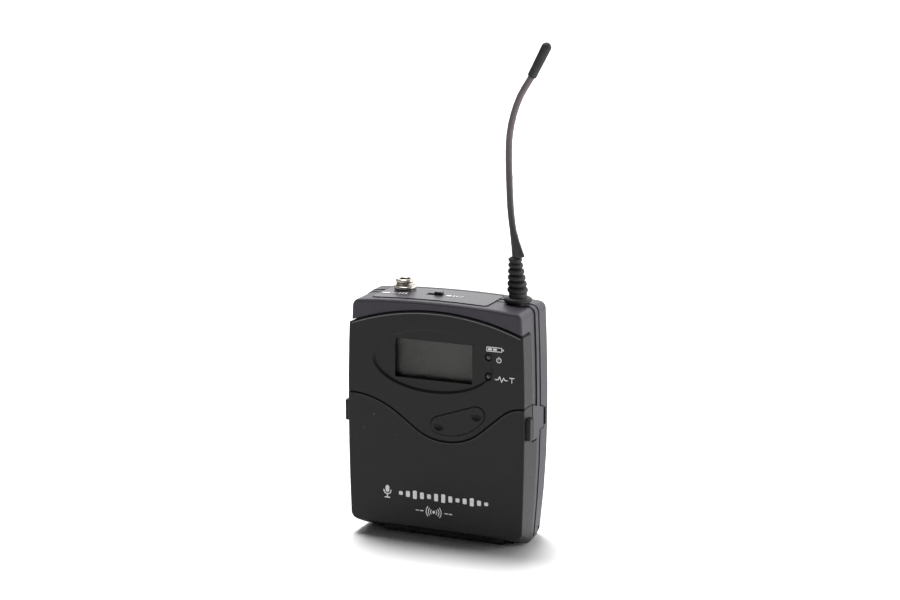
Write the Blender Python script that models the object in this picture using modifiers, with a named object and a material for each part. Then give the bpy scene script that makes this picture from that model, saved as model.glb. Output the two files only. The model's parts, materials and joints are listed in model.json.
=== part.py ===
"""Wireless bodypack transmitter: a hand-sized plastic case with a display, a hinged battery cover,
a ribbed whip antenna, a screw-lock microphone socket and a spring belt clip.

Sizes are in millimetres, and MM turns them into Blender's metres where a mesh is made.
+Z is up, the front faces -Y, and the origin is the middle of the flat foot that the case stands on.
Heights below are counted from a level just above the foot; stand_on_ground() lifts everything at
the end, so that the foot's underside lies at zero.
"""

import math

import bmesh
import bpy
from mathutils import Matrix, Vector

MM = 0.001

# ---- driving dimensions -------------------------------------------------------------------------
HEIGHT = 82.0
GROUND = -1.6  # the foot's underside
HALF_WIDTH = 32.0
FRONT_Y = -12.0
REAR_Y = 12.0
GAP = 0.3  # between neighbouring pieces
WALL = 1.6

WAIST_Z = 42.0  # the sides bulge most here
SIDE_RADIUS = 700.0
SIDE_RADIUS_LOW = 1000.0
TWIST = 0.08  # at the ground the sides run in by this much more per mm of depth
CROWN_RADIUS = 382.0  # the top is a shallow arc
CORNER_MIDDLE = 2.2  # the bottom corners are tight in the middle and wider at the faces
CORNER_FACE = 2.8
CORNER_TOP = 2.8
FRONT_EDGE = 0.35
SHELL_EDGE = 0.9
REAR_EDGE = 2.6
FRONT_TOE, FRONT_TOE_LENGTH = 4.9, 11.5  # the base slopes up towards the front face
REAR_TOE, REAR_TOE_LENGTH = 2.4, 5.5  # and towards the rear face
TOE_POWER = 1.15
FLOOR_WALL = 1.7
EDGE_CHAMFER = 0.4  # on the upward edges of the panel and the cover

# Depths of the layers, from the front face backwards.
PANEL_BACK = -10.8
SHELL_FRONT = -11.6
BACKING_FRONT = -10.5
BACKING_BACK = -9.1
PANEL_SIDE_BACK = -4.5
FRONT_HALF_BACK = -0.1
BAND_FRONT = 0.45
BAND_BACK = 2.85
REAR_HALF_FRONT = 3.4
REAR_WALL_FRONT = 10.4
SHELL_INSET = 0.6  # the bare top of the case is this much narrower than the panel
SHELF_Z = (76.9, 78.3)  # the frame's inner shelf, which carries the socket and the switch
LINER_OUTER = 1.9
LINER_INNER = 3.1

# Front features.
ARC_APEX_Z = 78.6
ARC_RADIUS = 84.4
WINDOW = (-14.8, 13.2, 55.1, 68.45)  # x0, x1, z0, z1
DISH_CENTRE = (-1.0, 61.7)
DISH_RADII = (22.0, 10.9)
DISH_DEPTH = 0.6
DISH_SLOPE = 0.8  # how far the oval's rim runs in as it goes down
LED_X = 19.0
LED_STATUS_Z = 65.1
LED_PEAK_Z = 58.5
LED_RADIUS = 1.15
ROCKER_LEFT = (1.4, 40.1)
ROCKER_RIGHT = (15.0, 44.9)
ROCKER_END_RADIUS = 2.9
ROCKER_BELLY_RADIUS = 16.0
ROCKER_GAP = 0.22
ROCKER_PIVOT_Y = -9.2
SET_KEY = (-22.5, 41.0)
POWER_KEY = (-13.5, 39.4)

# Top features.
PLATE = (-24.5, 17.0, -8.5, 7.7)  # x0, x1, y0, y1
PLATE_THICKNESS = 0.9
PLATE_FLOOR = 80.0
JACK_X, JACK_Y = -17.9, 4.0
MUTE_X, MUTE_Y = -4.7, -0.5
AERIAL_X, AERIAL_Y = 24.2, 1.65

# Battery bay.
CELL_RADIUS = 7.05
CELL_Y = -1.6
LOWER_CELL_Z = 12.6
CELL_PITCH = 14.6
TRAY_FRONT = -8.8
TRAY_BACK = 6.6
TRAY_TOP = 35.6
TRAY_BOTTOM = 4.5
TRAY_HALF = 27.4
HINGE_Y, HINGE_Z = -2.6, GROUND + 2.2
HEEL_RADIUS = 2.65

# Catches on the cover's sides, as (y0, y1, z0, z1).
CATCH = (-10.9, -7.1, 37.7, 45.0)
CATCH_PROUD = 33.7

# Belt clip.
CLIP_SHEET = 0.8
CLIP_BEND_Y, CLIP_BEND_Z = 15.8, 66.0
CLIP_BEND_OUTER = 3.5
CLIP_HALF = 14.0
ARM_X = 28.4
ARM_Z = (39.0, 44.6)
HOOK_Y = (6.6, 7.4)

SIDES = (-1, 1)
SIDE_NAMES = {-1: "left", 1: "right"}


# ---- helpers ------------------------------------------------------------------------------------
def clear_scene():
    for obj in list(bpy.data.objects):
        bpy.data.objects.remove(obj, do_unlink=True)


def new_collection(name):
    made = bpy.data.collections.new(name)
    bpy.context.scene.collection.children.link(made)
    return made


def material(name, colour, roughness, metallic=0.0):
    made = bpy.data.materials.new(name)
    made.use_nodes = True
    shader = made.node_tree.nodes["Principled BSDF"]
    shader.inputs["Base Color"].default_value = (*colour, 1.0)
    shader.inputs["Roughness"].default_value = roughness
    shader.inputs["Metallic"].default_value = metallic
    return made


def mesh_object(name, bm):
    """A linked cutter object from a bmesh in millimetres; finish() turns it into a part."""
    bmesh.ops.scale(bm, vec=(MM, MM, MM), verts=bm.verts)
    bmesh.ops.recalc_face_normals(bm, faces=bm.faces)
    mesh = bpy.data.meshes.new(name)
    bm.to_mesh(mesh)
    bm.free()
    obj = bpy.data.objects.new(name, mesh)
    CUTTERS.objects.link(obj)
    obj.hide_render = True
    obj.display_type = "WIRE"
    return obj


def finish(obj, look, origin=None, smooth=35):
    """Moves a shape from the cutters to the parts, with its material and its own origin in mm."""
    CUTTERS.objects.unlink(obj)
    PARTS.objects.link(obj)
    obj.hide_render = False
    obj.display_type = "TEXTURED"
    if origin is not None:
        shift = Vector(origin) * MM
        obj.data.transform(Matrix.Translation(-shift))
        obj.location = shift
    obj.data.materials.append(look)
    obj.data.shade_smooth()
    obj.data.set_sharp_from_angle(angle=math.radians(smooth))
    return obj


def boolean(obj, operation, others):
    for other in others:
        step = obj.modifiers.new(operation.lower(), "BOOLEAN")
        step.operation = operation
        step.solver = "EXACT"
        step.object = other
    return obj


def cut(obj, *others):
    return boolean(obj, "DIFFERENCE", others)


def join(obj, *others):
    return boolean(obj, "UNION", others)


def keep(obj, *others):
    return boolean(obj, "INTERSECT", others)


def bevel(obj, width, segments=2, angle=40):
    step = obj.modifiers.new("bevel", "BEVEL")
    step.width = width * MM
    step.segments = segments
    step.limit_method = "ANGLE"
    step.angle_limit = math.radians(angle)
    return obj


def block(name, xs, ys, zs):
    bm = bmesh.new()
    bmesh.ops.create_cube(bm, size=1.0)
    spans = [(min(s), max(s)) for s in (xs, ys, zs)]
    bmesh.ops.scale(bm, vec=[hi - lo for lo, hi in spans], verts=bm.verts)
    bmesh.ops.translate(bm, vec=[(hi + lo) / 2 for lo, hi in spans], verts=bm.verts)
    return mesh_object(name, bm)


def rod(name, start, end, radius, segments=24, end_radius=None):
    """A cylinder, or a cone with end_radius, between two points."""
    start, end = Vector(start), Vector(end)
    bm = bmesh.new()
    bmesh.ops.create_cone(
        bm,
        cap_ends=True,
        segments=segments,
        radius1=radius,
        radius2=radius if end_radius is None else end_radius,
        depth=(end - start).length,
    )
    turn = Vector((0, 0, 1)).rotation_difference(end - start).to_matrix()
    bmesh.ops.rotate(bm, cent=(0, 0, 0), matrix=turn, verts=bm.verts)
    bmesh.ops.translate(bm, vec=(start + end) / 2, verts=bm.verts)
    return mesh_object(name, bm)


def arc(centre, radius, start, end, steps):
    """Points on an arc from start to end degrees, both ends included."""
    angles = [math.radians(start + (end - start) * i / steps) for i in range(steps + 1)]
    return [(centre[0] + radius * math.cos(a), centre[1] + radius * math.sin(a)) for a in angles]


def flat_shape(name, outline, low, high, along="Y"):
    """The closed 2D outline made solid between two depths along an axis, from a filled curve.

    The outline is (x, z) along Y, (y, z) along X and (x, y) along Z."""
    curve = bpy.data.curves.new(name, "CURVE")
    curve.dimensions = "2D"
    curve.fill_mode = "BOTH"
    curve.extrude = (high - low) / 2 * MM
    spline = curve.splines.new("POLY")
    spline.points.add(len(outline) - 1)
    for point, (u, v) in zip(spline.points, outline):
        point.co = (u * MM, v * MM, 0, 1)
    spline.use_cyclic_u = True
    guide = bpy.data.objects.new(name + "_curve", curve)
    CUTTERS.objects.link(guide)
    middle = (high + low) / 2 * MM
    frames = {
        "Z": Matrix.Translation((0, 0, middle)),
        "Y": Matrix.Translation((0, middle, 0)) @ Matrix.Rotation(math.pi / 2, 4, "X"),
        "X": Matrix.Translation((middle, 0, 0))
        @ Matrix(((0, 0, 1, 0), (1, 0, 0, 0), (0, 1, 0, 0), (0, 0, 0, 1))),
    }
    graph = bpy.context.evaluated_depsgraph_get()
    mesh = bpy.data.meshes.new_from_object(guide.evaluated_get(graph))
    bm = bmesh.new()
    bm.from_mesh(mesh)
    bpy.data.objects.remove(guide)
    bpy.data.meshes.remove(mesh)
    bmesh.ops.transform(bm, matrix=frames[along], verts=bm.verts)
    bmesh.ops.remove_doubles(bm, verts=bm.verts, dist=1e-6)
    bmesh.ops.scale(bm, vec=(1 / MM,) * 3, verts=bm.verts)
    return mesh_object(name, bm)


def turned(name, profile, centre, steps=28):
    """A profile of (radius, height) points turned about a vertical axis through centre (x, y).

    The profile runs down its outer side, top to bottom, then back up any bore."""
    mesh = bpy.data.meshes.new(name)
    points = [(r * MM, 0, z * MM) for r, z in profile]
    edges = [(i, i + 1) for i in range(len(points) - 1)]
    if profile[0][0] > 0:
        edges.append((len(points) - 1, 0))
    mesh.from_pydata(points, edges, [])
    obj = bpy.data.objects.new(name, mesh)
    CUTTERS.objects.link(obj)
    obj.hide_render = True
    obj.display_type = "WIRE"
    obj.location = (centre[0] * MM, centre[1] * MM, 0)
    screw = obj.modifiers.new("turn", "SCREW")
    screw.steps = screw.render_steps = steps
    screw.use_merge_vertices = True
    screw.merge_threshold = 1e-6
    screw.use_smooth_shade = True
    return obj


def smooth_path(route, per_span):
    """Points along a Catmull-Rom curve through the route's points."""
    ends = [route[0], *route, route[-1]]
    points = []
    for i in range(len(route) - 1):
        a, b, c, d = (Vector(p) for p in ends[i : i + 4])
        for step in range(per_span):
            t = step / per_span
            points.append(
                0.5 * (2 * b + (c - a) * t + (2 * a - 5 * b + 4 * c - d) * t**2
                       + (3 * b - a - 3 * c + d) * t**3)
            )
    return [*points, Vector(route[-1])]


def wire(name, points, radius, taper=None):
    """A round wire along points, as a mesh from a bevelled curve with filled caps."""
    curve = bpy.data.curves.new(name, "CURVE")
    curve.dimensions = "3D"
    curve.bevel_depth = radius * MM
    curve.bevel_resolution = 2
    curve.use_fill_caps = True
    spline = curve.splines.new("POLY")
    spline.points.add(len(points) - 1)
    for i, (point, place) in enumerate(zip(spline.points, points)):
        point.co = (*(Vector(place) * MM), 1)
        point.radius = 1.0 if taper is None else taper[i]
    guide = bpy.data.objects.new(name + "_curve", curve)
    CUTTERS.objects.link(guide)
    graph = bpy.context.evaluated_depsgraph_get()
    mesh = bpy.data.meshes.new_from_object(guide.evaluated_get(graph))
    bm = bmesh.new()
    bm.from_mesh(mesh)
    bpy.data.objects.remove(guide)
    bpy.data.meshes.remove(mesh)
    bmesh.ops.remove_doubles(bm, verts=bm.verts, dist=1e-7)
    bmesh.ops.scale(bm, vec=(1 / MM,) * 3, verts=bm.verts)
    return mesh_object(name, bm)


# ---- the shape of the case ----------------------------------------------------------------------
def side_x(z, y=FRONT_Y):
    """Half width of the case: the sides are shallow arcs that narrow at the bottom of the back."""
    radius = SIDE_RADIUS if z > WAIST_Z else SIDE_RADIUS_LOW
    low = max(WAIST_Z - z, 0.0) / (WAIST_Z - GROUND)
    return HALF_WIDTH - (z - WAIST_Z) ** 2 / (2 * radius) - TWIST * (y - FRONT_Y) * low**2


def top_z(x):
    """Height of the crowned top at a distance from the middle."""
    return HEIGHT - x * x / (2 * CROWN_RADIUS)


def case_outline(inset=0.0, rise=0.0, drop=0.0, y=FRONT_Y):
    """Front-view outline of the case at a depth y, pulled in at the sides by the inset, lifted at
    the base by the rise and lowered on top by the drop."""
    share = min(max(rise / FRONT_TOE, 0.0), 1.0)
    corner = max(CORNER_MIDDLE + (CORNER_FACE - CORNER_MIDDLE) * share - inset, 0.5)
    start = GROUND + rise + corner
    low = arc((side_x(start, y) - inset - corner, start), corner, -90, 0, 8)
    top_corner = max(CORNER_TOP - drop, 0.5)
    shoulder = top_z(HALF_WIDTH - 2) - drop - top_corner
    side_low, side_high = start, shoulder
    side = [side_low + (side_high - side_low) * i / 6 for i in range(1, 6)]
    side = [(side_x(z, y) - inset, z) for z in side]
    centre_x = side_x(shoulder) - inset - top_corner
    high = arc((centre_x, shoulder), top_corner, 0, 86, 4)
    crown = [(centre_x * (1 - i / 4), top_z(centre_x * (1 - i / 4)) - drop) for i in range(1, 4)]
    right = low + side + high + crown
    return right + [(0, HEIGHT - drop)] + [(-x, z) for x, z in reversed(right)]


def loft(name, sections):
    """A solid through outlines of equal length, each at its own depth y."""
    bm = bmesh.new()
    rings = [[bm.verts.new((x, y, z)) for x, z in outline] for y, outline in sections]
    for near, far in zip(rings, rings[1:]):
        for i, vertex in enumerate(near):
            following = (i + 1) % len(near)
            bm.faces.new((vertex, near[following], far[following], far[i]))
    bm.faces.new(rings[0])
    bm.faces.new(reversed(rings[-1]))
    return mesh_object(name, bm)


def toe(distance, length, height):
    """Lift of the base at a distance into the sloping toe."""
    share = min(max(distance / length, 0.0), 1.0)
    return height * share**TOE_POWER


def front_toe(y):
    return toe(FRONT_Y + FRONT_TOE_LENGTH - y, FRONT_TOE_LENGTH, FRONT_TOE)


def rear_toe(y):
    return toe(y - REAR_Y + REAR_TOE_LENGTH, REAR_TOE_LENGTH, REAR_TOE)


def front_form(name, inset=0.0, front=FRONT_Y, edge=FRONT_EDGE, back=FRONT_HALF_BACK):
    """The solid front half of the case, with its rounded edge and sloping toe."""
    sections = []
    for angle in (90, 60, 30, 0):
        turn = math.radians(angle)
        y = front + edge * (1 - math.sin(turn))
        pull = edge * (1 - math.cos(turn))
        sections.append((y, case_outline(inset + pull, front_toe(y) + pull * 0.5,
                                         inset * 0.5 + pull, y)))
    for y in (-9.0, -6.5, -4.0, -2.0, back):
        sections.append((y, case_outline(inset, front_toe(y), inset * 0.5, y)))
    return loft(name, sections)


def rear_form(name):
    """The solid rear half of the case."""
    sections = [(y, case_outline(0, rear_toe(y), 0, y)) for y in (REAR_HALF_FRONT, 6.5, 8.0)]
    for angle in (0, 30, 60, 90):
        turn = math.radians(angle)
        y = REAR_Y - REAR_EDGE * (1 - math.sin(turn))
        pull = REAR_EDGE * (1 - math.cos(turn))
        sections.append((y, case_outline(pull, rear_toe(y) + pull * 0.4, pull, y)))
    return loft(name, sections)


def wave_line(offset=0.0):
    """The S-shaped seam between panel and cover, left to right, as arcs and straight runs.

    It is followed like a path: each step is (length, turn in degrees); a turn makes it an arc."""
    steps = [(2.5, 0), (31.0, -36), (7.6, 0), (18.5, 36), (0.9, 0), (17.5, 41.3), (10.24, 0),
             (11.6, -41.3), (4.0, 0)]
    x, z, heading = -34.0, 48.6 + offset, 0.0
    points = [(x, z)]
    for size, turn in steps:
        if turn == 0:
            x += size * math.cos(heading)
            z += size * math.sin(heading)
            points.append((x, z))
            continue
        side = math.copysign(1, turn)
        radius = size - side * offset  # parallel arcs share a centre
        cx, cz = x - side * radius * math.sin(heading), z + side * radius * math.cos(heading)
        pieces = 6
        for i in range(1, pieces + 1):
            a = heading + math.radians(turn) * i / pieces
            points.append((cx + side * radius * math.sin(a), cz - side * radius * math.cos(a)))
        x, z = points[-1]
        heading += math.radians(turn)
    return points


def arch_line(offset=0.0):
    """The arched top seam of the panel, left to right."""
    half_angle = 23.5
    centre = (0, ARC_APEX_Z - ARC_RADIUS)
    return arc(centre, ARC_RADIUS + offset, 90 + half_angle, 90 - half_angle, 16)


def below_wave(name, offset=0.0, y0=-14.0, y1=2.0):
    outline = [(-36, -6), (36, -6), *reversed(wave_line(offset))]
    return flat_shape(name, outline, y0, y1)


def chamfer_cutter(name, line, limit):
    """Cuts a chamfer along a seam in the front face: line(offset) gives the seam's points."""
    past = 0.3
    deep = [*line(0.0), (36, limit), (-36, limit)]
    wide = [*line(-EDGE_CHAMFER - past), (36, limit), (-36, limit)]
    return loft(name, [(FRONT_Y - past, wide), (FRONT_Y + EDGE_CHAMFER, deep)])


def above_wave(name, offset=0.0, y0=-14.0, y1=2.0):
    outline = [*wave_line(offset), (36, 90), (-36, 90)]
    return flat_shape(name, outline, y0, y1)


def panel_zone(name, grow, y0, y1):
    """The area between the wave and the arch, grown outwards at both seams."""
    outline = [*wave_line(-grow), *reversed(arch_line(grow + 0.1))]
    return flat_shape(name, outline, y0, y1)


def rounded_rectangle(x0, x1, z0, z1, radius, steps=3):
    corners = (((x1 - radius, z0 + radius), -90), ((x1 - radius, z1 - radius), 0),
               ((x0 + radius, z1 - radius), 90), ((x0 + radius, z0 + radius), 180))
    return [p for centre, a in corners for p in arc(centre, radius, a, a + 90, steps)]


def rocker_outline(grow=0.0):
    """The leaf of the rocker: two round ends, a straight back and a belly that follows the wave."""
    left, right = Vector(ROCKER_LEFT), Vector(ROCKER_RIGHT)
    span = right - left
    along = math.degrees(math.atan2(span.y, span.x))
    reach = ROCKER_BELLY_RADIUS - ROCKER_END_RADIUS
    rise = math.sqrt(reach**2 - (span.length / 2) ** 2)
    normal = Vector((-span.y, span.x)).normalized()
    belly = (left + right) / 2 + normal * rise
    to_left = math.degrees(math.atan2(left.y - belly.y, left.x - belly.x))
    to_right = math.degrees(math.atan2(right.y - belly.y, right.x - belly.x))
    end = ROCKER_END_RADIUS + grow
    return (arc(belly, ROCKER_BELLY_RADIUS + grow, to_left, to_right, 8)[:-1]
            + arc(right, end, to_right, along + 90, 8)
            + arc(left, end, along + 90, to_left + 360, 8)[:-1])


def side_block_outline(grow=0.0):
    """Side view (y, z) of the moulded block that bridges the seams at the waist."""
    return [(-4.0 - grow, 35.9 - grow), (2.4 + grow, 35.9 - grow), (2.4 + grow, 38.2 - grow),
            (5.9 + grow, 38.2 - grow), (5.9 + grow, 45.2 + grow), (-4.0 - grow, 48.2 + grow)]


def both_sides(make):
    """Calls make(side) for the left (-1) and the right (1) and gives both results."""
    return [make(side) for side in SIDES]


def top_cutters(tag):
    """Cutters that every piece of the top shares: the plate's recess and the through holes."""
    x0, x1, y0, y1 = PLATE
    recess = flat_shape(tag + "_plate_recess",
                        rounded_rectangle(x0 - 0.35, x1 + 0.35, y0 - 0.35, y1 + 0.35, 1.8),
                        PLATE_FLOOR, HEIGHT + 3, "Z")
    jack = rod(tag + "_jack_hole", (JACK_X, JACK_Y, 70), (JACK_X, JACK_Y, 90), 3.45)
    aerial = rod(tag + "_aerial_hole", (AERIAL_X, AERIAL_Y, 70), (AERIAL_X, AERIAL_Y, 90), 3.0)
    slot = block(tag + "_mute_hole", (MUTE_X - 4.5, MUTE_X + 4.5), (MUTE_Y - 2.0, MUTE_Y + 2.0),
                 (70, 90))
    return recess, jack, aerial, slot


# ---- the case -----------------------------------------------------------------------------------
def make_front_shell():
    shell = front_form("front_shell", SHELL_INSET, SHELL_FRONT, SHELL_EDGE)
    cavity = flat_shape("front_cavity", case_outline(LINER_INNER, 0, 2.4), BACKING_BACK, 2.0)
    recess = panel_zone("panel_recess", GAP, -14.0, PANEL_SIDE_BACK + GAP)
    liner = flat_shape("panel_liner", case_outline(LINER_OUTER, 0, -4), BACKING_FRONT, 4.0)
    cut(recess, liner)
    x0, x1, z0, z1 = WINDOW
    window = flat_shape("window_hole", rounded_rectangle(x0 - 1, x1 + 1, z0 - 1, z1 + 1, 0.6),
                        -14, -5)
    lamps = [rod(f"lamp_hole_{z:.0f}", (LED_X, -14, z), (LED_X, -5, z), 1.45, 16)
             for z in (LED_STATUS_Z, LED_PEAK_Z)]
    rocker = flat_shape("shell_rocker_hole", rocker_outline(ROCKER_GAP), -14, -5)
    region = above_wave("shell_lower_edge", GAP / 2)
    wedges = both_sides(lambda side: flat_shape(
        f"shell_wedge_{side}", [(-4.2, 48.56), (2, 46.68), (2, 52), (-4.2, 52)],
        *sorted((side * 29.9, side * 34)), "X"))
    keep(shell, join(region, *wedges))
    cut(shell, cavity, recess, window, *lamps, rocker, *top_cutters("front"))
    return finish(shell, CASE_GREY)


def make_mid_frame():
    ring = loft("mid_frame", [(y, case_outline(0.2, 0, 0.2, y)) for y in (BAND_FRONT, BAND_BACK)])
    hollow = loft("ring_hollow", [(y, case_outline(2.3, 1.9, 4.0, y)) for y in (-1, 5)])
    shelf = block("shelf", (-27.7, 27.7), (-5.0, 6.8), SHELF_Z)
    shelf_tie = block("shelf_tie", (-29.4, 29.4), (BAND_FRONT, BAND_BACK), SHELF_Z)
    blocks = both_sides(lambda side: flat_shape(
        f"side_block_{side}", side_block_outline(), *sorted((side * 29.6, side * 34)), "X"))
    skin = loft("block_skin", [(-6, case_outline()), (8, case_outline())])
    for lump in blocks:
        keep(lump, skin)
    lugs = both_sides(lambda side: block(f"screw_lug_{side}", (side * 24.4, side * 30.5),
                                         (BAND_FRONT, BAND_BACK), (61.6, 66.4)))
    foot = block("foot", (-21.9, 21.9), (-4.9, 1.0), (GROUND, GROUND + 1.9))
    knuckles = both_sides(lambda side: block(f"knuckle_{side}", (side * 17.5, side * 21.9),
                                             (-4.6, -0.8), (GROUND, GROUND + 4.1)))
    pin_hole = rod("frame_pin_hole", (-30, HINGE_Y, HINGE_Z), (30, HINGE_Y, HINGE_Z), 1.0, 16)
    screws = both_sides(lambda side: rod(f"lug_hole_{side}", (side * 26.6, -1, 64),
                                         (side * 26.6, 5, 64), 0.95, 12))
    cut(ring, hollow)
    join(ring, *blocks, *lugs, foot, *knuckles, shelf, shelf_tie)
    cut(ring, pin_hole, *screws, *top_cutters("mid"))
    return finish(ring, CASE_GREY)


def make_rear_shell():
    shell = rear_form("rear_shell")
    cavity = loft("rear_cavity", [(y, case_outline(1.7, 2.4, 1.9, y))
                                  for y in (2.0, REAR_WALL_FRONT)])
    notches = both_sides(lambda side: flat_shape(
        f"block_notch_{side}", side_block_outline(GAP), *sorted((side * 29, side * 34)), "X"))
    arm_slots = both_sides(lambda side: block(
        f"arm_slot_{side}", (side * (ARM_X - GAP), side * (ARM_X + CLIP_SHEET + GAP)), (9, 14),
        (ARM_Z[0] - GAP, ARM_Z[1] + GAP)))
    hook_slots = both_sides(lambda side: block(
        f"hook_slot_{side}", (side * 28.0, side * 34), (HOOK_Y[0] - 0.5, HOOK_Y[1] + 0.6),
        (ARM_Z[0] - GAP, ARM_Z[1] + GAP)))
    bosses = both_sides(lambda side: rod(f"boss_{side}", (side * 26.6, REAR_HALF_FRONT, 64),
                                         (side * 26.6, 10.8, 64), 2.2))
    shafts = both_sides(lambda side: rod(f"boss_hole_{side}", (side * 26.6, 2, 64),
                                         (side * 26.6, 14, 64), 1.2, 16))
    sinks = both_sides(lambda side: rod(f"screw_sink_{side}", (side * 26.6, 10.6, 64),
                                        (side * 26.6, 14, 64), 2.0, 20))
    chargers = both_sides(lambda side: block(f"charger_slot_{side}", (side * 27.3, side * 34),
                                             (7.2, 8.8), (0.2, 2.4)))
    cut(shell, cavity)
    join(shell, *bosses)
    cut(shell, *notches, *arm_slots, *hook_slots, *shafts, *sinks, *chargers,
        *top_cutters("rear"))
    return finish(shell, CASE_GREY)


def make_top_plate():
    """The label plate: a slice of the crowned top, with the socket and switch holes."""
    x0, x1, y0, y1 = PLATE
    samples = [x0 + (x1 - x0) * i / 10 for i in range(11)]
    band = ([(x, top_z(x) - PLATE_THICKNESS) for x in samples]
            + [(x, top_z(x) - 0.05) for x in reversed(samples)])
    plate = flat_shape("top_plate", band, y0 - 1, y1 + 1)
    outline = flat_shape("plate_outline", rounded_rectangle(x0 + 0.01, x1 - 0.01, y0, y1, 1.5),
                         70, 90, "Z")
    jack = rod("plate_jack_hole", (JACK_X, JACK_Y, 70), (JACK_X, JACK_Y, 90), 3.3)
    slot = flat_shape("plate_slot",
                      rounded_rectangle(MUTE_X - 3.0, MUTE_X + 3.0, MUTE_Y - 1.35,
                                        MUTE_Y + 1.35, 0.5), 70, 90, "Z")
    keep(plate, outline)
    cut(plate, jack, slot)
    return finish(plate, CASE_GREY)


def make_display_panel():
    panel = front_form("display_panel")
    chamfer = chamfer_cutter("panel_chamfer", arch_line, 90)
    inner = flat_shape("panel_inner", case_outline(1.4, -4, -4), PANEL_BACK, 2)
    rear = block("panel_rear_cut", (-40, 40), (PANEL_SIDE_BACK, 4), (-10, 95))
    lower = above_wave("panel_lower_edge", GAP / 2)
    upper = flat_shape("panel_upper_edge", [(-36, 20), (36, 20), *reversed(arch_line())], -14, 2)
    x0, x1, z0, z1 = WINDOW
    window = flat_shape("panel_window", rounded_rectangle(x0, x1, z0, z1, 0.5), -14, -9)
    lamps = [rod(f"panel_lamp_{z:.0f}", (LED_X, -14, z), (LED_X, -9, z), 1.4, 16)
             for z in (LED_STATUS_Z, LED_PEAK_Z)]
    rocker = flat_shape("panel_rocker_hole", rocker_outline(ROCKER_GAP), -14, -9)
    keep(panel, lower, upper)
    cut(panel, inner, rear, chamfer, make_dish(), window, *lamps, rocker)
    return finish(panel, PANEL_BLACK)


def make_dish():
    """An oval cutter with a sloping rim, for the shallow recess round the display."""
    rings = []
    for y, grow in ((FRONT_Y - 1, DISH_SLOPE), (FRONT_Y, 0.0), (FRONT_Y + DISH_DEPTH, -DISH_SLOPE)):
        turns = [2 * math.pi * i / 64 for i in range(64)]
        rings.append((y, [(DISH_CENTRE[0] + (DISH_RADII[0] + grow) * math.cos(a),
                           DISH_CENTRE[1] + (DISH_RADII[1] + grow) * math.sin(a))
                          for a in turns]))
    return loft("dish", rings)


# ---- the battery cover and its catches ----------------------------------------------------------
def make_battery_cover():
    cover = front_form("battery_cover")
    cavity = loft("cover_cavity", [(y, case_outline(WALL, front_toe(y) + FLOOR_WALL, -4, y))
                                   for y in (-10.4, -9.0, -6.5, -4.0, -2.0, 3.0)])
    chamfer = chamfer_cutter("cover_chamfer", lambda grow: wave_line(grow - GAP / 2), 90)
    shoulder = block("block_clearance", (-40, 40), (-4.7, 4), (35.4, 60))
    foot_notch = block("foot_notch", (-22.2, 22.2), (-6.1, 4), (GROUND - 2, GROUND + 4.6))
    heel = block("heel_trim", (-40, 40), (HINGE_Y, 4), (GROUND - 3, HINGE_Z))
    inner_heel = block("inner_heel", (-27.75, 27.75), (HINGE_Y, 4), (GROUND - 3, 9))
    cut(inner_heel, rod("inner_round", (-50, HINGE_Y, HINGE_Z), (50, HINGE_Y, HINGE_Z), 2.0, 32))
    cut(heel, rod("heel_round", (-50, HINGE_Y, HINGE_Z), (50, HINGE_Y, HINGE_Z),
                  HEEL_RADIUS, 48))
    y0, y1, z0, z1 = CATCH
    windows = both_sides(lambda side: block(f"catch_window_{side}", (side * 28, side * 36),
                                            (y0 - 0.2, y1 + 0.2), (z0 - 0.2, z1 + 0.2)))
    lugs = both_sides(lambda side: rod(f"hinge_lug_{side}", (side * 22.2, HINGE_Y, HINGE_Z),
                                       (side * 24.8, HINGE_Y, HINGE_Z), 1.95, 24))
    pins = rod("cover_pin_hole", (-25.2, HINGE_Y, HINGE_Z), (25.2, HINGE_Y, HINGE_Z), 1.05, 16)
    keep(cover, below_wave("cover_upper_edge", -GAP / 2))
    cut(cover, cavity, chamfer, shoulder, foot_notch, inner_heel, *windows)
    join(cover, *lugs)
    cut(cover, heel, pins)
    return finish(cover, PANEL_BLACK, (0, HINGE_Y, HINGE_Z))


def make_catch(side):
    """A press button in the cover's side, with a flange that holds it in behind the wall."""
    y0, y1, z0, z1 = CATCH
    button = block(f"catch_{SIDE_NAMES[side]}", (side * 29.2, side * CATCH_PROUD),
                   (y0, y1), (z0, z1))
    bevel(button, 0.35, 2)
    flange = block(f"catch_flange_{side}", (side * 28.7, side * 30.0), (-10.2, y1 + 1.2),
                   (z0 - 1.0, z1 + 1.0))
    nose = block(f"catch_nose_{side}", (side * 28.7, side * 29.8), (y1, -4.6), (39.6, 43.2))
    join(button, flange, nose)
    return finish(button, PANEL_BLACK, (side * 31, (y0 + y1) / 2, (z0 + z1) / 2))


def make_hinge_pin(side):
    pin = rod(f"hinge_pin_{SIDE_NAMES[side]}", (side * 18.2, HINGE_Y, HINGE_Z),
              (side * 24.6, HINGE_Y, HINGE_Z), 0.8, 16)
    return finish(pin, STEEL)


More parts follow.
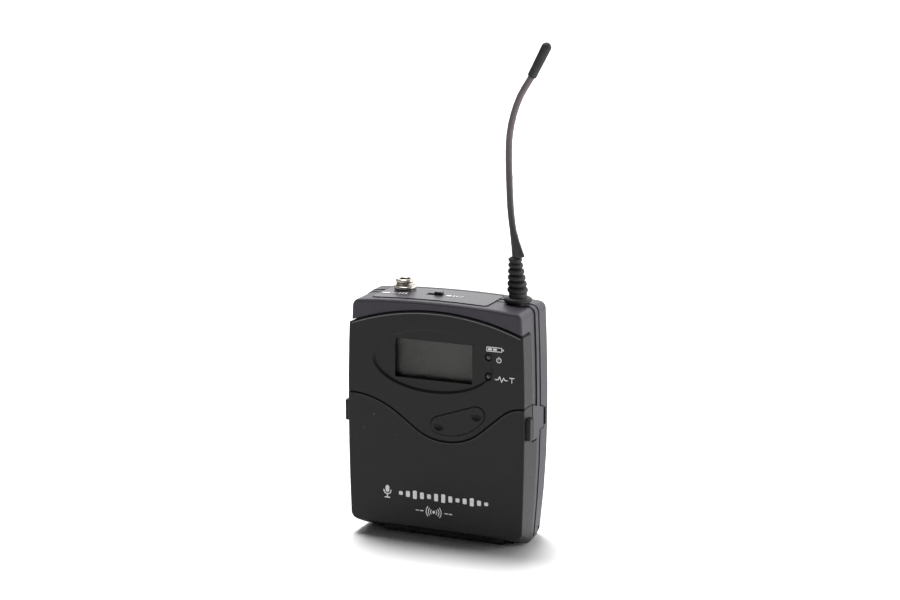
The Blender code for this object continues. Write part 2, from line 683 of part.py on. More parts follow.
# ---- keys, switch, socket -----------------------------------------------------------------------
def make_rocker():
    """One leaf-shaped key that tips either way on the rib behind it."""
    leaf = flat_shape("rocker_button", rocker_outline(), -12.15, -9.4)
    bevel(leaf, 0.3, 2)
    middle = (Vector(ROCKER_LEFT) + Vector(ROCKER_RIGHT)) / 2
    fulcrum = rod("rocker_rib", (middle.x, -9.6, middle.y), (middle.x, -7.0, middle.y), 1.2, 16)
    plungers = [rod(f"rocker_plunger_{x:.0f}", (x, -9.6, z), (x, -8.1, z), 1.1, 16)
                for x, z in (ROCKER_LEFT, ROCKER_RIGHT)]
    dimples = []
    for x, z in (ROCKER_LEFT, ROCKER_RIGHT):
        bm = bmesh.new()
        bmesh.ops.create_uvsphere(bm, u_segments=20, v_segments=10, radius=3.2)
        bmesh.ops.translate(bm, vec=(x, -14.6, z), verts=bm.verts)
        dimples.append(mesh_object(f"dimple_{x:.0f}", bm))
    join(leaf, fulcrum, *plungers)
    cut(leaf, *dimples)
    return finish(leaf, PANEL_BLACK, (middle.x, ROCKER_PIVOT_Y, middle.y))


def make_key(name, place, radius):
    """A small round key that sits in the deck under the battery cover."""
    x, z = place
    cap = rod(name, (x, -10.0, z), (x, -8.1, z), radius, 24)
    bevel(cap, 0.25, 2)
    stem = rod(name + "_stem", (x, -8.2, z), (x, -7.75, z), 1.2, 16)
    join(cap, stem)
    return finish(cap, KEY_GREY, (x, -9, z))


def make_mute_knob():
    top = top_z(MUTE_X)
    x0 = MUTE_X - 0.1
    knob = block("mute_knob", (x0, x0 + 2.8), (MUTE_Y - 1.0, MUTE_Y + 1.0), (top - 2.4, top + 1.1))
    bevel(knob, 0.3, 2)
    return finish(knob, KEY_BLACK, (x0 + 1.4, MUTE_Y, top))


def make_mute_switch():
    body = block("mute_switch", (MUTE_X - 4.2, MUTE_X + 4.2), (MUTE_Y - 1.7, MUTE_Y + 1.7),
                 (74.6, 78.9))
    bevel(body, 0.2, 1)
    legs = [block(f"switch_leg_{i}", (MUTE_X - 2.6 + 2.5 * i, MUTE_X - 2.2 + 2.5 * i),
                  (MUTE_Y - 0.3, MUTE_Y + 0.3), (72.6, 75)) for i in range(3)]
    join(body, *legs)
    return finish(body, KEY_BLACK)


def make_jack():
    """Threaded 3.5 mm socket: bush, ring nut on the plate, and the contact block below."""
    base = top_z(JACK_X)
    bore, collar, thread, root = 1.8, 3.15, 2.95, 2.65
    profile = [(bore + 0.3, base + 3.8), (2.8, base + 3.8), (collar, base + 3.5),
               (collar, base + 2.65), (root, base + 2.5), (root, base + 2.3)]
    pitch = 0.75
    for turn in range(7):
        z = base + 2.2 - turn * pitch
        profile += [(thread, z), (thread, z - pitch / 3), (root, z - pitch / 2)]
    profile += [(root, 75.0), (bore, 75.0), (bore, base + 3.6)]
    bush = turned("jack_bushing", profile, (JACK_X, JACK_Y), 32)
    finish(bush, NICKEL)
    nut = [(3.25, base + 1.5), (3.6, base + 1.5), (3.95, base + 1.25), (3.95, base + 0.7),
           (3.75, base + 0.5), (3.6, base + 0.15), (3.25, base + 0.15)]
    finish(turned("jack_nut", nut, (JACK_X, JACK_Y), 32), NICKEL)
    body = block("jack_body", (JACK_X - 4.2, JACK_X + 4.2), (JACK_Y - 3.1, JACK_Y + 2.9),
                 (62.0, 74.7))
    bevel(body, 0.3, 1)
    cut(body, rod("jack_bore", (JACK_X, JACK_Y, 63.5), (JACK_X, JACK_Y, 80), 1.8, 16))
    finish(body, KEY_BLACK)


# ---- display ------------------------------------------------------------------------------------
def make_display():
    x0, x1, z0, z1 = WINDOW
    lens = flat_shape("lcd_window", rounded_rectangle(x0 - 0.8, x1 + 0.8, z0 - 0.8, z1 + 0.8, 0.4),
                      -10.45, -9.35)
    finish(lens, CLEAR)
    glass = block("lcd_glass", (x0 - 1.6, x1 + 1.6), (-8.9, -7.5), (z0 - 1.6, z1 + 1.6))
    finish(glass, LCD_GREEN)
    lamp = block("lcd_backlight", (x0 - 2.2, x1 + 2.2), (-7.3, -6.65), (z0 - 2.2, z1 + 2.2))
    finish(lamp, KEY_GREY)


def make_lamp(name, z, look):
    """An indicator lamp: a round-nosed cylinder that stops just inside the panel's face."""
    stem = rod(name, (LED_X, -10.75, z), (LED_X, -6.65, z), LED_RADIUS, 20)
    bm = bmesh.new()
    bmesh.ops.create_uvsphere(bm, u_segments=20, v_segments=10, radius=LED_RADIUS)
    bmesh.ops.scale(bm, vec=(0.995, 0.8, 0.995), verts=bm.verts)
    bmesh.ops.translate(bm, vec=(LED_X, -10.7, z), verts=bm.verts)
    join(stem, mesh_object(name + "_nose", bm))
    return finish(stem, look)


# ---- boards -------------------------------------------------------------------------------------
def make_boards():
    ui = block("display_board", (-27, 27), (-6.4, -5.6), (37.0, 77.0))
    cut(ui, block("ui_notch_l", (-40, -24.5), (-8, -4), (60, 68)),
        block("ui_notch_r", (24.5, 40), (-8, -4), (60, 68)))
    finish(ui, BOARD_GREEN)
    main = block("main_board", (-23.8, 23.8), (7.2, 8.2), (6.0, 77.0))
    bevel(main, 0.2, 1)
    finish(main, BOARD_GREEN)
    can = block("rf_shield", (-1.0, 22.0), (8.45, 10.1), (44.0, 72.0))
    bevel(can, 0.25, 1)
    finish(can, TIN)
    link = block("board_connector", (-12.0, 2.0), (-5.3, 6.95), (39.0, 41.6))
    bevel(link, 0.15, 1)
    finish(link, KEY_BLACK)


def make_chips():
    """The chips on the inner face of the main board: (name, x0, x1, z0, z1, height)."""
    for name, x0, x1, z0, z1, height in (("chip_processor", -21.0, -11.0, 46.0, 56.0, 1.2),
                                         ("chip_audio", -6.0, 1.0, 46.5, 53.5, 1.0),
                                         ("chip_power", 5.0, 13.0, 58.0, 64.0, 1.4)):
        chip = block(name, (x0, x1), (6.95 - height, 6.95), (z0, z1))
        finish(bevel(chip, 0.15, 1), KEY_BLACK)


def make_key_switch(name, place):
    """A tactile switch on the display board: one for each rocker end and each hidden key."""
    x, z = place
    can = block(name, (x - 2.2, x + 2.2), (-7.25, -6.65), (z - 2.2, z + 2.2))
    return finish(bevel(can, 0.15, 1), TIN)


# ---- antenna ------------------------------------------------------------------------------------
BOOT_LEAN = -0.09  # sideways shift for each mm of height
BOOT_PIVOT_Z = 83.6
BOOT_TOP = 96.7
RIB_FIRST, RIB_PITCH = 85.6, 2.08
RIB_RADII = (3.5, 3.3, 3.05, 2.8, 2.55, 2.35)


def make_boot():
    base = top_z(AERIAL_X)
    flange = [(1.7, base + 1.85), (4.0, base + 1.85), (4.75, base + 1.35), (4.75, base + 0.75),
              (4.2, base + 0.25), (2.7, base + 0.25), (2.7, 79.0), (1.7, 79.0)]
    finish(turned("boot_flange", flange, (AERIAL_X, AERIAL_Y)), RUBBER)
    profile = [(1.35, BOOT_TOP)]
    for i in reversed(range(len(RIB_RADII))):
        z, rib = RIB_FIRST + i * RIB_PITCH, RIB_RADII[i]
        profile += [(rib - 0.25, z + 0.5), (rib, z), (rib - 0.2, z - 0.4), (rib - 0.6, z - 0.7)]
        if i:
            profile.append((rib - 0.5, z - 1.3))
    profile += [(2.3, BOOT_PIVOT_Z + 0.2), (1.35, BOOT_PIVOT_Z + 0.2)]
    sleeve = turned("boot_sleeve", profile, (0, 0))
    graph = bpy.context.evaluated_depsgraph_get()
    mesh = bpy.data.meshes.new_from_object(sleeve.evaluated_get(graph))
    bpy.data.objects.remove(sleeve)
    lean = Matrix.Identity(4)
    lean[0][2] = BOOT_LEAN
    place = Matrix.Translation((AERIAL_X * MM, AERIAL_Y * MM, BOOT_PIVOT_Z * MM))
    mesh.transform(place @ lean @ Matrix.Translation((0, 0, -BOOT_PIVOT_Z * MM)))
    bm = bmesh.new()
    bm.from_mesh(mesh)
    bmesh.ops.scale(bm, vec=(1 / MM,) * 3, verts=bm.verts)
    sleeve = mesh_object("boot_sleeve", bm)
    finish(sleeve, RUBBER, (AERIAL_X, AERIAL_Y, BOOT_PIVOT_Z))


def make_aerial():
    """The flexible whip with its bent-over end and moulded tip, and the stub that holds it."""
    route = [(24.05, 84.4), (23.0, 96.9), (22.4, 102.6), (21.4, 112.1), (20.8, 122.9),
             (20.6, 131.0), (20.9, 137.4), (22.2, 143.8), (24.6, 150.2), (28.3, 156.4)]
    route = [(x, AERIAL_Y, z) for x, z in route]
    points = smooth_path(route, 3)
    whip = wire("antenna_whip", points, 1.05)
    finish(whip, WHIP_GREY, (AERIAL_X, AERIAL_Y, BOOT_PIVOT_Z))
    end = points[-1]
    heading = (Vector((34.2, AERIAL_Y, 167.9)) - end).normalized()
    tip = rod("antenna_tip", end + heading * 0.3, end + heading * 10.6, 1.55, 20)
    bm = bmesh.new()
    bmesh.ops.create_uvsphere(bm, u_segments=20, v_segments=10, radius=1.7)
    bmesh.ops.translate(bm, vec=end + heading * 11.0, verts=bm.verts)
    swell = rod("tip_swell", end + heading * 2.5, end + heading * 11.0, 1.55, 20, 1.7)
    join(tip, swell, mesh_object("tip_nose", bm))
    finish(tip, RUBBER, (AERIAL_X, AERIAL_Y, BOOT_PIVOT_Z))
    stub = rod("antenna_ferrule", (AERIAL_X, AERIAL_Y, 70.5), (AERIAL_X, AERIAL_Y, 82.6), 1.4, 20)
    join(stub, rod("ferrule_collar", (AERIAL_X, AERIAL_Y, 70.5), (AERIAL_X, AERIAL_Y, 78.4),
                   2.4, 20))
    finish(stub, NICKEL)


# ---- battery bay --------------------------------------------------------------------------------
def make_tray():
    """The bay for two cells, with the key deck that closes the electronics above it."""
    tray = block("battery_tray", (-TRAY_HALF, TRAY_HALF), (TRAY_FRONT, TRAY_BACK),
                 (TRAY_BOTTOM, TRAY_TOP))
    hollow = block("tray_hollow", (-TRAY_HALF + 1, TRAY_HALF - 1), (-12, TRAY_BACK - 0.8),
                   (TRAY_BOTTOM + 0.8, TRAY_TOP - 0.8))
    deck = block("key_deck", (-27.2, 27.2), (TRAY_FRONT, -7.8), (TRAY_TOP - 0.5, 47.6))
    rocker = flat_shape("deck_rocker_hole", rocker_outline(GAP), -14, -5)
    keys = [rod(f"deck_key_{x:.0f}", (x, -12, z), (x, -6, z), 2.75, 24)
            for x, z in (SET_KEY, POWER_KEY)]
    cut(tray, hollow)
    join(tray, deck)
    cut(tray, rocker, *keys)
    return finish(tray, KEY_BLACK)


def make_cell(name, z, plus):
    """One AA cell lying across the case, its cap towards plus (-1 left, 1 right)."""
    shift = plus * -0.5
    cell = rod(name, (shift - 24.2, CELL_Y, z), (shift + 24.2, CELL_Y, z), CELL_RADIUS, 32)
    bevel(cell, 0.5, 2)
    cap = rod(name + "_cap", (shift + plus * 24, CELL_Y, z), (shift + plus * 25.6, CELL_Y, z),
              2.7, 20)
    join(cell, cap)
    return finish(cell, CELL_JACKET)


def make_contacts():
    """A conical spring for each cell's flat end and a leaf for each cap."""
    for i, plus in enumerate((1, -1)):
        z = LOWER_CELL_Z + i * CELL_PITCH
        outer = -plus * 26.1
        turns, per_turn, reach = 2.5, 10, 1.0
        count = int(turns * per_turn)
        points = []
        for step in range(count + 1):
            share = step / count
            angle = 2 * math.pi * turns * share
            radius = 3.6 - 1.8 * share
            points.append((outer + plus * share * reach, CELL_Y + radius * math.cos(angle),
                           z + radius * math.sin(angle)))
        tag = "lower" if i == 0 else "upper"
        finish(wire(f"battery_spring_{tag}", points, 0.2), NICKEL)
        leaf = block(f"battery_contact_{tag}", (plus * 25.6, plus * 26.1),
                     (CELL_Y - 3.2, CELL_Y + 3.2), (z - 4, z + 4))
        finish(leaf, NICKEL)


def make_charging_contact(side):
    pad = block(f"charging_contact_{SIDE_NAMES[side]}", (side * 27.6, side * 29.2),
                (7.5, 8.5), (0.5, 2.1))
    return finish(pad, NICKEL)


# ---- belt clip and screws -----------------------------------------------------------------------
def make_clip():
    """Spring-steel clip: a bracket hooked into the rear shell, and the tongue that springs."""
    front = REAR_Y + GAP
    back = front + CLIP_SHEET
    plate = block("clip_bracket", (-CLIP_HALF, CLIP_HALF), (front, back), (37.0, CLIP_BEND_Z - 0.6))
    beam = block("clip_beam", (-ARM_X - CLIP_SHEET, ARM_X + CLIP_SHEET), (front, back), ARM_Z)
    arms = both_sides(lambda side: block(f"clip_arm_{side}",
                                         (side * ARM_X, side * (ARM_X + CLIP_SHEET)),
                                         (HOOK_Y[0], back), ARM_Z))
    hooks = both_sides(lambda side: block(f"clip_hook_{side}", (side * ARM_X, side * 31.2),
                                          HOOK_Y, ARM_Z))
    join(plate, beam, *arms, *hooks)
    finish(plate, CLIP_BLACK)

    centre = (CLIP_BEND_Y, CLIP_BEND_Z)
    inner = CLIP_BEND_OUTER - CLIP_SHEET
    outer_y, inner_y = CLIP_BEND_Y + CLIP_BEND_OUTER, CLIP_BEND_Y + inner
    lip_out, lip_rise = 1.3, 5.0
    low = 14.0
    strip = (arc(centre, CLIP_BEND_OUTER, 180, 0, 12)
             + [(outer_y, low + lip_rise), (outer_y + lip_out, low),
                (inner_y + lip_out, low), (inner_y, low + lip_rise)]
             + arc(centre, inner, 0, 180, 12))
    tongue = flat_shape("clip_tongue", strip, -CLIP_HALF, CLIP_HALF, "X")
    trims = both_sides(lambda side: flat_shape(
        f"tongue_trim_{side}", [(side * 7, 12), (side * 16, 12), (side * 16, 40)][::side],
        10, 25, "Y"))
    cut(tongue, *trims)
    finish(tongue, CLIP_BLACK, (0, CLIP_BEND_Y, CLIP_BEND_Z))


def make_screw(side):
    x = side * 26.6
    head = rod(f"case_screw_{SIDE_NAMES[side]}", (x, 10.85, 64), (x, 11.7, 64), 1.75, 20)
    shank = rod(f"shank_{side}", (x, 0.8, 64), (x, 11.0, 64), 0.7, 12)
    slots = [block(f"slot_a_{side}", (x - 1, x + 1), (11.3, 13), (63.8, 64.2)),
             block(f"slot_b_{side}", (x - 0.2, x + 0.2), (11.3, 13), (63, 65))]
    join(head, shank)
    cut(head, *slots)
    return finish(head, STEEL)


# ---- assembly -----------------------------------------------------------------------------------
def stand_on_ground():
    """Lifts every part and cutter together, so that the foot's underside lies at zero."""
    for obj in bpy.data.objects:
        obj.location.z -= GROUND * MM


clear_scene()
PARTS = new_collection("bodypack_transmitter")
CUTTERS = new_collection("cutters")

CASE_GREY = material("case_grey", (0.075, 0.073, 0.082), 0.55)
PANEL_BLACK = material("panel_black", (0.018, 0.018, 0.020), 0.5)
KEY_GREY = material("key_grey", (0.2, 0.2, 0.21), 0.6)
KEY_BLACK = material("key_black", (0.012, 0.012, 0.014), 0.45)
RUBBER = material("rubber", (0.014, 0.015, 0.014), 0.7)
WHIP_GREY = material("whip_sleeve", (0.045, 0.038, 0.036), 0.55)
NICKEL = material("nickel", (0.72, 0.66, 0.56), 0.25, 1.0)
STEEL = material("steel", (0.55, 0.55, 0.56), 0.35, 1.0)
TIN = material("tinned_steel", (0.7, 0.7, 0.7), 0.4, 1.0)
CLIP_BLACK = material("clip_black", (0.01, 0.01, 0.01), 0.4, 0.3)
CLEAR = material("lens_clear", (0.55, 0.6, 0.55), 0.08)
LCD_GREEN = material("lcd_green", (0.16, 0.18, 0.14), 0.3)
LAMP_RED = material("lamp_red", (0.2, 0.03, 0.02), 0.25)
LAMP_AMBER = material("lamp_amber", (0.22, 0.13, 0.02), 0.25)
BOARD_GREEN = material("board_green", (0.02, 0.12, 0.05), 0.5)
CELL_JACKET = material("cell_jacket", (0.05, 0.12, 0.28), 0.35)

make_front_shell()
make_mid_frame()
make_rear_shell()
make_top_plate()
make_display_panel()
make_battery_cover()
for which in SIDES:
    make_catch(which)
    make_hinge_pin(which)
    make_charging_contact(which)
    make_screw(which)
make_rocker()
make_key("set_key", SET_KEY, 2.4)
make_key("power_key", POWER_KEY, 2.4)
make_mute_knob()
make_mute_switch()
make_jack()
make_display()
make_lamp("led_status", LED_STATUS_Z, LAMP_RED)
make_lamp("led_peak", LED_PEAK_Z, LAMP_AMBER)
make_boards()
make_chips()
for label, spot in (("switch_down", ROCKER_LEFT), ("switch_up", ROCKER_RIGHT),
                    ("switch_set", SET_KEY), ("switch_power", POWER_KEY)):
    make_key_switch(label, spot)
make_boot()
make_aerial()
make_tray()
make_cell("battery_lower", LOWER_CELL_Z, 1)
make_cell("battery_upper", LOWER_CELL_Z + CELL_PITCH, -1)
make_contacts()
make_clip()
stand_on_ground()
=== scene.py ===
"""Looks of a wireless bodypack transmitter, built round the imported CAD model.

Lengths are in millimetres in the tables and helpers; MM turns them into metres.
"""

import json
import math

import bmesh
import bpy
from mathutils import Matrix, Vector


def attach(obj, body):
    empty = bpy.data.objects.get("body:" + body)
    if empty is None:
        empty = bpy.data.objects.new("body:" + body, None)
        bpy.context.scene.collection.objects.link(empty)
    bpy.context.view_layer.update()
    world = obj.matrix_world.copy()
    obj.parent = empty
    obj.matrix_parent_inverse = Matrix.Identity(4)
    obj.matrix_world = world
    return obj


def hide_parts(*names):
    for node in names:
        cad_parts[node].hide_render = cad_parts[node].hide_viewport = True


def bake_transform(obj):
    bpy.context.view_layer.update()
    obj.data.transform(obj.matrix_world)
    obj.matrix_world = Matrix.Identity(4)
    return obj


MM = 0.001
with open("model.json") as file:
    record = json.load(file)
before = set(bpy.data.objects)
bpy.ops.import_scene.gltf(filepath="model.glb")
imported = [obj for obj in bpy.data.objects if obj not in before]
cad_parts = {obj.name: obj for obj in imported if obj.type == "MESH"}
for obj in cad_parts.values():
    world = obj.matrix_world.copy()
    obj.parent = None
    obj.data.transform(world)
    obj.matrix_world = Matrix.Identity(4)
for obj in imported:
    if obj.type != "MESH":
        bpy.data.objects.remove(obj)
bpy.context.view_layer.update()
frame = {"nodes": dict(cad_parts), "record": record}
NODES = frame["nodes"]

FACE = 12.0  # distance of the front's plane from the middle
TOP = 83.6  # height of the crown
CROWN_RADIUS = 382.0
INK = 0.02  # thickness of the printing
JACK = (-17.9, 4.0)  # places of the socket and the antenna on the top, as (x, y)
AERIAL = (24.2, 1.65)
SLEEVE_RADIUS = 1.13
BOOT_MOUTH = 98.2  # height of the boot's open end, where the whip comes out


# ---- materials ----------------------------------------------------------------------------------
class Nodes:
    """Small helper that adds and links shader nodes."""

    def __init__(self, name):
        self.material = bpy.data.materials.new(name)
        self.material.use_nodes = True
        self.tree = self.material.node_tree
        self.shader = self.tree.nodes["Principled BSDF"]
        self.place = self.add("ShaderNodeTexCoord").outputs["Object"]

    def add(self, kind, **settings):
        node = self.tree.nodes.new(kind)
        for key, value in settings.items():
            setattr(node, key, value)
        return node

    def link(self, source, target):
        self.tree.links.new(source, target)

    def noise(self, scale, detail=2.0, roughness=0.5, place=None):
        node = self.add("ShaderNodeTexNoise")
        node.inputs["Scale"].default_value = scale
        node.inputs["Detail"].default_value = detail
        node.inputs["Roughness"].default_value = roughness
        self.link(place or self.place, node.inputs["Vector"])
        return node.outputs["Fac"]

    def ramp(self, source, low, high, start, end):
        node = self.add("ShaderNodeMapRange")
        node.inputs["From Min"].default_value = low
        node.inputs["From Max"].default_value = high
        node.inputs["To Min"].default_value = start
        node.inputs["To Max"].default_value = end
        self.link(source, node.inputs["Value"])
        return node.outputs["Result"]

    def math(self, operation, first, second):
        node = self.add("ShaderNodeMath", operation=operation)
        for socket, value in zip(node.inputs, (first, second)):
            if isinstance(value, (int, float)):
                socket.default_value = value
            else:
                self.link(value, socket)
        return node.outputs[0]

    def mix(self, factor, first, second):
        node = self.add("ShaderNodeMix", data_type="RGBA")
        self.link(factor, node.inputs["Factor"])
        for socket, value in ((node.inputs["A"], first), (node.inputs["B"], second)):
            if isinstance(value, tuple):
                socket.default_value = (*value, 1.0)
            else:
                self.link(value, socket)
        return node.outputs["Result"]

    def bump(self, height, distance, strength=1.0):
        node = self.add("ShaderNodeBump")
        node.inputs["Strength"].default_value = strength
        node.inputs["Distance"].default_value = distance
        self.link(height, node.inputs["Height"])
        self.link(node.outputs["Normal"], self.shader.inputs["Normal"])

    def put(self, **values):
        for key, value in values.items():
            socket = self.shader.inputs[key.replace("_", " ")]
            if isinstance(value, tuple):
                socket.default_value = (*value, 1.0)
            elif isinstance(value, (int, float)):
                socket.default_value = value
            else:
                self.link(value, socket)


def moulded(name, dark, light, roughness, grain=2600.0, depth=0.00002, spread=0.06, specular=0.3):
    """Moulded plastic: spark-eroded grain and slow changes of shade."""
    n = Nodes(name)
    slow = n.noise(35.0, 3.0, 0.5)
    fine = n.noise(grain, 3.0, 0.55)
    shade = n.ramp(n.math("ADD", n.math("MULTIPLY", slow, 0.35), n.math("MULTIPLY", fine, 0.65)),
                   0.3, 0.7, 0.0, 1.0)
    n.put(Base_Color=n.mix(shade, dark, light),
          Roughness=n.ramp(fine, 0.3, 0.7, roughness - spread, roughness + spread),
          Specular_IOR_Level=specular)
    n.bump(fine, depth, 0.6)
    return n.material


def plain(name, colour, roughness, metallic=0.0, grain=1500.0, depth=0.00001, contrast=0.15):
    """A simple surface with a little grain in its colour, gloss and height."""
    n = Nodes(name)
    fine = n.noise(grain, 3.0)
    low = tuple(c * (1 - contrast) for c in colour)
    high = tuple(min(1.0, c * (1 + contrast)) for c in colour)
    n.put(Base_Color=n.mix(n.ramp(fine, 0.3, 0.7, 0.0, 1.0), low, high),
          Roughness=n.ramp(fine, 0.3, 0.7, roughness * 0.85, roughness * 1.15),
          Metallic=metallic)
    n.bump(fine, depth, 0.5)
    return n.material


def brushed(name, colour, roughness, stretch=(4000.0, 300.0, 300.0)):
    """Metal with fine drawing lines."""
    n = Nodes(name)
    mapping = n.add("ShaderNodeMapping")
    mapping.inputs["Scale"].default_value = stretch
    n.link(n.place, mapping.inputs["Vector"])
    lines = n.noise(1.0, 4.0, 0.6, mapping.outputs["Vector"])
    low = tuple(c * 0.82 for c in colour)
    n.put(Base_Color=n.mix(n.ramp(lines, 0.3, 0.7, 0.0, 1.0), low, colour),
          Roughness=n.ramp(lines, 0.3, 0.7, roughness * 0.7, roughness * 1.3), Metallic=1.0)
    n.bump(lines, 0.000004, 0.5)
    return n.material


def socket_look():
    """Worn nickel over brass: warm, a little dull, darker where it has rubbed through."""
    n = Nodes("socket_metal")
    cloud = n.noise(420.0, 4.0, 0.6)
    fine = n.noise(3500.0, 3.0)
    n.put(Base_Color=n.mix(n.ramp(cloud, 0.4, 0.62, 0.0, 1.0), (0.42, 0.38, 0.33),
                           (0.74, 0.70, 0.63)),
          Metallic=1.0, Roughness=n.ramp(fine, 0.3, 0.7, 0.28, 0.36))
    n.bump(fine, 0.000006, 0.4)
    return n.material


def cover_look():
    """The cover's moulding, with a few tiny pale nicks in its upper left."""
    made = moulded("cover_black", (0.0058, 0.0058, 0.0063), (0.0084, 0.0084, 0.009), 0.55)
    tree = made.node_tree
    shader = tree.nodes["Principled BSDF"]
    before = shader.inputs["Base Color"].links[0].from_socket
    place = tree.nodes.new("ShaderNodeTexCoord").outputs["Object"]
    total = None
    for x, z, size in ((-22.4, 42.8, 0.28), (-26.1, 37.8, 0.22), (-14.0, 36.7, 0.14),
                       (10.5, 25.6, 0.12), (-28.4, 29.5, 0.12)):
        reach = tree.nodes.new("ShaderNodeVectorMath")
        reach.operation = "DISTANCE"
        reach.inputs[1].default_value = (x * MM, -FACE * MM, z * MM)
        tree.links.new(place, reach.inputs[0])
        near = tree.nodes.new("ShaderNodeMapRange")
        near.inputs["From Min"].default_value = size * MM
        near.inputs["From Max"].default_value = size * MM * 0.4
        near.inputs["To Max"].default_value = 0.55
        tree.links.new(reach.outputs["Value"], near.inputs["Value"])
        if total is None:
            total = near.outputs["Result"]
            continue
        most = tree.nodes.new("ShaderNodeMath")
        most.operation = "MAXIMUM"
        tree.links.new(total, most.inputs[0])
        tree.links.new(near.outputs["Result"], most.inputs[1])
        total = most.outputs[0]
    mix = tree.nodes.new("ShaderNodeMix")
    mix.data_type = "RGBA"
    mix.inputs["B"].default_value = (0.16, 0.17, 0.15, 1.0)
    tree.links.new(total, mix.inputs["Factor"])
    tree.links.new(before, mix.inputs["A"])
    tree.links.new(mix.outputs["Result"], shader.inputs["Base Color"])
    return made


def liquid_crystal():
    """Grey-green display, switched off, with painted shade across it: darker to the left, paler to
    the right.
    """
    n = Nodes("liquid_crystal")
    split = n.add("ShaderNodeSeparateXYZ")
    n.link(n.place, split.inputs[0])
    # painted shade: a ramp along X darkens the display's left and lightens its right, as the light
    # falls across it
    across = n.ramp(split.outputs["X"], -0.015, 0.006, 0.0, 1.0)
    cloud = n.noise(60.0, 1.0)
    share = n.math("ADD", n.math("MULTIPLY", across, 0.85), n.math("MULTIPLY", cloud, 0.15))
    n.put(Base_Color=n.mix(share, (0.036, 0.0362, 0.034), (0.060, 0.0612, 0.055)),
          Roughness=0.4, Specular_IOR_Level=0.3)
    return n.material


def clear_window():
    """A thin clear pane: mostly see-through, with a light gloss."""
    n = Nodes("window_clear")
    n.put(Base_Color=n.mix(n.noise(900.0), (0.02, 0.022, 0.02), (0.03, 0.032, 0.03)),
          Roughness=0.08, Alpha=0.02)
    return n.material


def rubber_look(name, colour, roughness):
    """Matt rubber with dusty patches."""
    n = Nodes(name)
    fine = n.noise(1800.0, 4.0, 0.6)
    dust = n.ramp(n.noise(160.0, 4.0), 0.48, 0.72, 0.0, 0.35)
    dusty = tuple(c * 2.2 + 0.02 for c in colour)
    n.put(Base_Color=n.mix(dust, colour, dusty),
          Roughness=n.ramp(fine, 0.3, 0.7, roughness - 0.08, roughness + 0.08),
          Specular_IOR_Level=0.45)
    n.bump(fine, 0.00002, 0.5)
    return n.material


def sleeve_look():
    """The whip's sleeve: dark where it leaves the boot, dusty brown-grey further up."""
    n = Nodes("whip_sleeve")
    split = n.add("ShaderNodeSeparateXYZ")
    n.link(n.place, split.inputs[0])
    dust = n.noise(260.0, 4.0, 0.6)
    share = n.math("MULTIPLY", n.ramp(split.outputs["Z"], 0.108, 0.138, 0.0, 1.0),
                   n.ramp(dust, 0.3, 0.7, 0.75, 1.0))
    n.put(Base_Color=n.mix(share, (0.017, 0.016, 0.017), (0.125, 0.098, 0.103)),
          Roughness=n.ramp(dust, 0.3, 0.7, 0.45, 0.6))
    n.bump(n.noise(1800.0, 4.0, 0.6), 0.00002, 0.5)
    return n.material


def board_look():
    """Green solder mask with traces in slight relief."""
    n = Nodes("board_green")
    traces = n.add("ShaderNodeTexVoronoi", distance="MANHATTAN", feature="F1")
    traces.inputs["Scale"].default_value = 420.0
    n.link(n.place, traces.inputs["Vector"])
    mask = n.ramp(traces.outputs["Distance"], 0.35, 0.42, 0.0, 1.0)
    n.put(Base_Color=n.mix(mask, (0.012, 0.09, 0.035), (0.03, 0.17, 0.07)), Roughness=0.35,
          Coat_Weight=0.4)
    n.bump(mask, 0.00002, 0.5)
    return n.material


def cell_look():
    """A cell's printed jacket: blue with a pale band at one end and bright metal ends."""
    n = Nodes("cell_jacket")
    split = n.add("ShaderNodeSeparateXYZ")
    n.link(n.place, split.inputs[0])
    size = n.math("ABSOLUTE", split.outputs["X"], 0.0)
    band = n.ramp(size, 0.0165, 0.0167, 0.0, 1.0)
    colour = n.mix(band, (0.012, 0.05, 0.16), (0.42, 0.43, 0.45))
    ends = n.ramp(size, 0.0238, 0.0239, 0.0, 1.0)
    n.put(Base_Color=n.mix(ends, colour, (0.7, 0.7, 0.7)), Metallic=ends,
          Roughness=n.ramp(n.noise(700.0), 0.3, 0.7, 0.22, 0.34))
    n.bump(n.noise(500.0), 0.00001, 0.3)
    return n.material


LOOKS = {
    "case_grey": moulded("case_grey", (0.033, 0.0292, 0.0385), (0.041, 0.0367, 0.0474), 0.50,
                         spread=0.08),
    "plate_grey": moulded("plate_grey", (0.037, 0.0332, 0.0425), (0.046, 0.0418, 0.0522), 0.42,
                          grain=3600.0, depth=0.00001),
    "panel_black": moulded("panel_black", (0.0058, 0.0058, 0.0063), (0.0084, 0.0084, 0.009), 0.55),
    "cover_black": cover_look(),
    "key_grey": plain("key_grey", (0.2, 0.2, 0.21), 0.55),
    "key_black": plain("key_black", (0.016, 0.016, 0.018), 0.4),
    "tray_black": moulded("tray_black", (0.018, 0.018, 0.02), (0.026, 0.026, 0.028), 0.5),
    "rubber": rubber_look("rubber", (0.010, 0.0102, 0.010), 0.62),
    "whip_sleeve": sleeve_look(),
    "nickel": brushed("nickel", (0.80, 0.75, 0.66), 0.2, (300.0, 300.0, 3000.0)),
    "socket_metal": socket_look(),
    "steel": brushed("steel", (0.6, 0.6, 0.61), 0.3),
    "clip_black": plain("clip_black", (0.012, 0.012, 0.013), 0.32, 0.2, 900.0, 0.00001),
    "lens_clear": clear_window(),
    "lcd_green": liquid_crystal(),
    "lamp_red": plain("lamp_red", (0.045, 0.036, 0.036), 0.16, 0.0, 900.0, 0.000002),
    "lamp_amber": plain("lamp_amber", (0.045, 0.042, 0.036), 0.16, 0.0, 900.0, 0.000002),
    "board_green": board_look(),
    "cell_jacket": cell_look(),
    "print_white": plain("print_white", (0.78, 0.77, 0.76), 0.6, 0.0, 3000.0, 0.00001, 0.25),
    # painted highlight colour: the pale line standing for light on the panel's chamfered edge along
    # the arch
    "painted_highlight_grey": plain("painted_highlight_grey", (0.1, 0.096, 0.104), 0.5),
}


